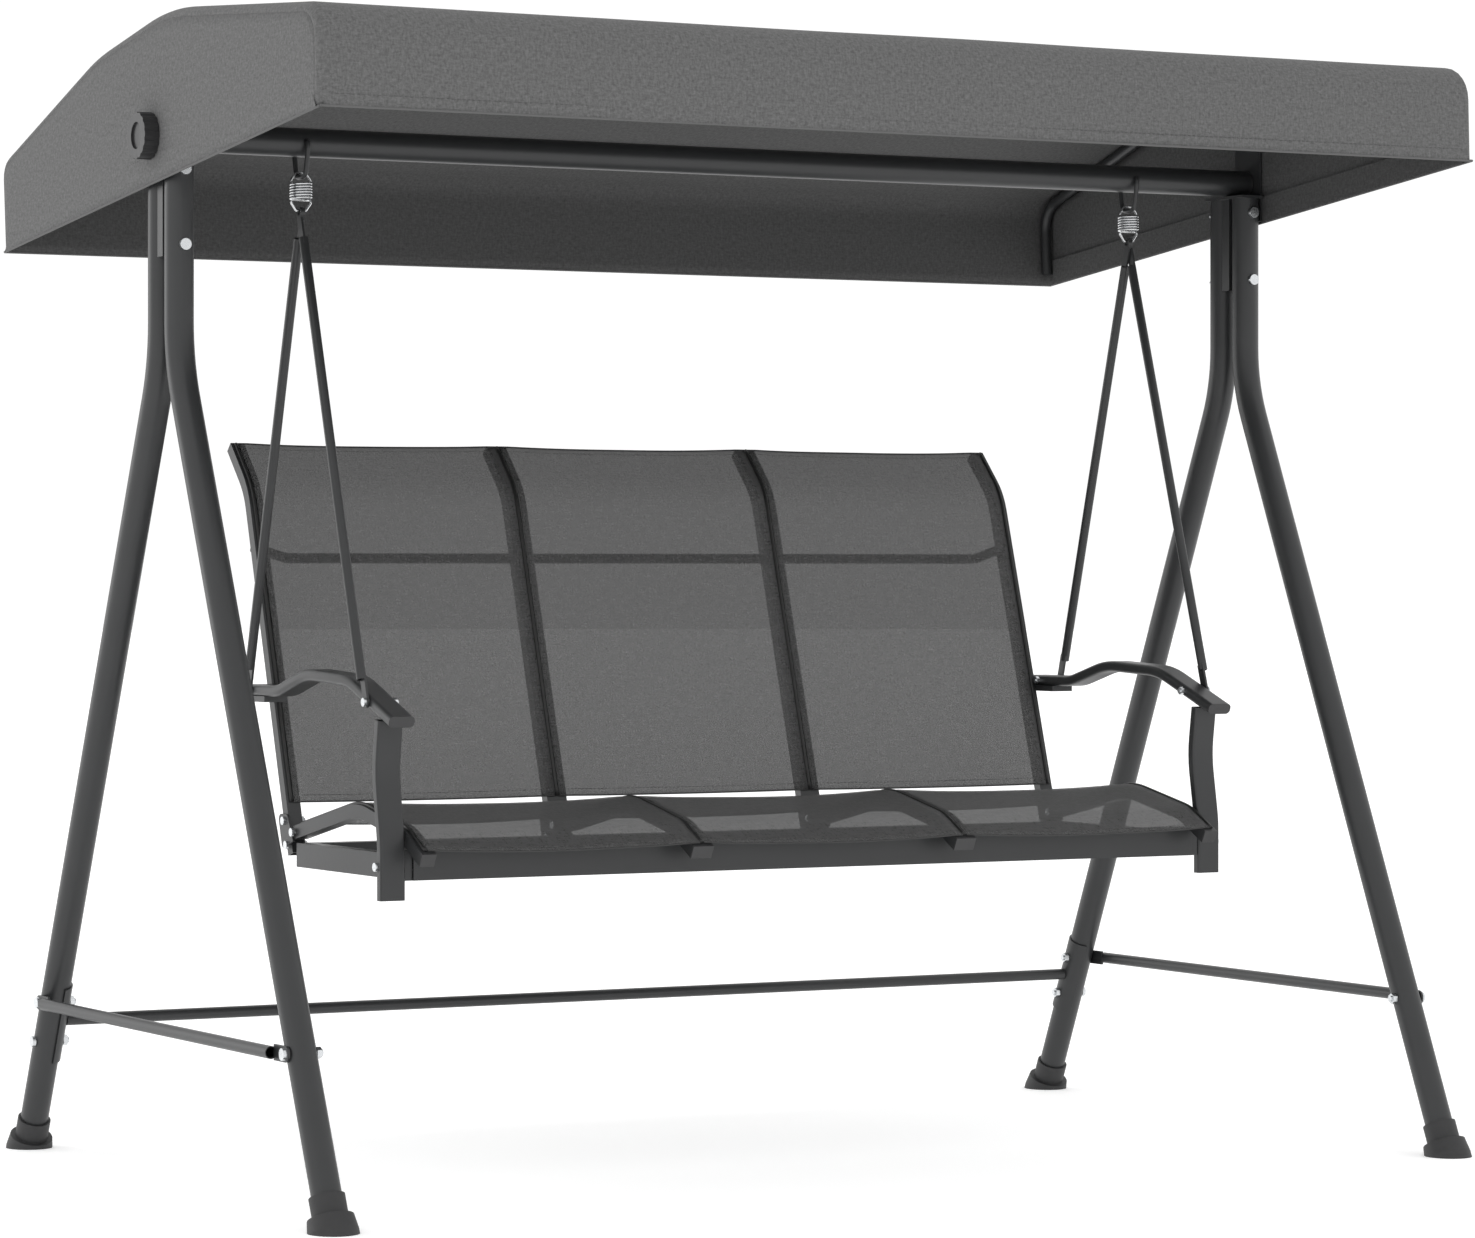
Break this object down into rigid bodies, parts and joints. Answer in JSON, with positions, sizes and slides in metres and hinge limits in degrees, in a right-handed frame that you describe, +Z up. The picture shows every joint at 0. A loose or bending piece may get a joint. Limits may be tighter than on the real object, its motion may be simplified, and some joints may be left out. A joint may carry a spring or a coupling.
{
  "type": "garden swing seat",
  "caption": "Garden swing: tube A-frames and hanger bar, a sprung hanging bench with woven slings, and a tilting cloth canopy.",
  "frame": {"origin": "on the ground, midway between the four feet", "axes": "+X along the bench towards the right-hand A-frame seen from the front, +Y from the open front to the backrest, +Z up"},
  "size_m": [1.7522, 1.0969, 1.515],
  "materials": {
    "frame_paint": "semi-matt dark grey powder coat",
    "zinc_hardware": "bright zinc plate",
    "spring_steel": "zinc-plated spring wire",
    "boot_pvc": "soft moulded PVC",
    "knob_nylon": "moulded nylon",
    "cap_plastic": "moulded plastic",
    "sling_mesh": "woven PVC-coated polyester mesh",
    "canopy_cloth": "plain-woven polyester, matt"
  },
  "bodies": {
    "frame": {"bar_brackets": "frame_paint", "bar_plugs": "cap_plastic", "brace_bolts": "zinc_hardware", "brace_nuts": "zinc_hardware", "foot_front_left": "boot_pvc", "foot_front_right": "boot_pvc", "foot_rear_left": "boot_pvc", "foot_rear_right": "boot_pvc", "hanger_bar": "frame_paint", "leg_front_left": "frame_paint", "leg_front_right": "frame_paint", "leg_rear_left": "frame_paint", "leg_rear_right": "frame_paint", "leg_top_bolts": "zinc_hardware", "leg_top_nuts": "zinc_hardware", "rear_stretcher": "frame_paint", "side_braces": "frame_paint", "stretcher_saddles": "frame_paint", "swing_hooks": "frame_paint"},
    "springs": {"suspension_springs": "spring_steel"},
    "seat": {"arm_brackets": "frame_paint", "arm_end_caps": "cap_plastic", "arm_left": "frame_paint", "arm_right": "frame_paint", "back_brackets": "frame_paint", "back_cross_tube": "frame_paint", "back_rails_inner": "frame_paint", "back_rails_outer": "frame_paint", "back_sling_centre": "sling_mesh", "back_sling_left": "sling_mesh", "back_sling_right": "sling_mesh", "front_corner_brackets": "frame_paint", "front_posts": "frame_paint", "hanger_rod_front_left": "frame_paint", "hanger_rod_front_right": "frame_paint", "hanger_rod_rear_left": "frame_paint", "hanger_rod_rear_right": "frame_paint", "rail_caps": "cap_plastic", "rod_bolts": "zinc_hardware", "seat_bolts": "zinc_hardware", "seat_front_beam": "frame_paint", "seat_rails_inner": "frame_paint", "seat_rails_outer": "frame_paint", "seat_rear_beam": "frame_paint", "seat_side_beams": "frame_paint", "seat_sling_centre": "sling_mesh", "seat_sling_left": "sling_mesh", "seat_sling_right": "sling_mesh"},
    "canopy": {"canopy_bow_left": "frame_paint", "canopy_bow_right": "frame_paint", "canopy_end_panel_left": "canopy_cloth", "canopy_end_panel_right": "canopy_cloth", "canopy_front_bar": "frame_paint", "canopy_pivot_plates": "frame_paint", "canopy_rear_bar": "frame_paint", "canopy_ridge_bar": "frame_paint", "canopy_side_strips": "frame_paint", "canopy_top_panel": "canopy_cloth"},
    "knob_left": {"knob_left": "knob_nylon"},
    "knob_right": {"knob_right": "knob_nylon"}
  },
  "joints": [
    {"name": "seat_swing", "type": "hinge", "parent": "frame", "child": "springs", "pos_m": [0, 0, 1.323], "axis": [1, 0, 0], "range_deg": [-20, 20]},
    {"name": "seat_bounce", "type": "slide", "parent": "springs", "child": "seat", "axis": [0, 0, 1], "range_m": [-0.03, 0], "stiffness_N_per_m": 22300, "springref_m": 0.0065, "deforming": ["suspension_springs"]},
    {"name": "canopy_tilt", "type": "hinge", "parent": "frame", "child": "canopy", "pos_m": [0, 0, 1.357], "axis": [1, 0, 0], "range_deg": [-20, 20]},
    {"name": "knob_left_turn", "type": "hinge", "parent": "frame", "child": "knob_left", "pos_m": [-0.866, 0, 1.357], "axis": [1, 0, 0], "continuous": true},
    {"name": "knob_right_turn", "type": "hinge", "parent": "frame", "child": "knob_right", "pos_m": [0.866, 0, 1.357], "axis": [1, 0, 0], "continuous": true}
  ]
}
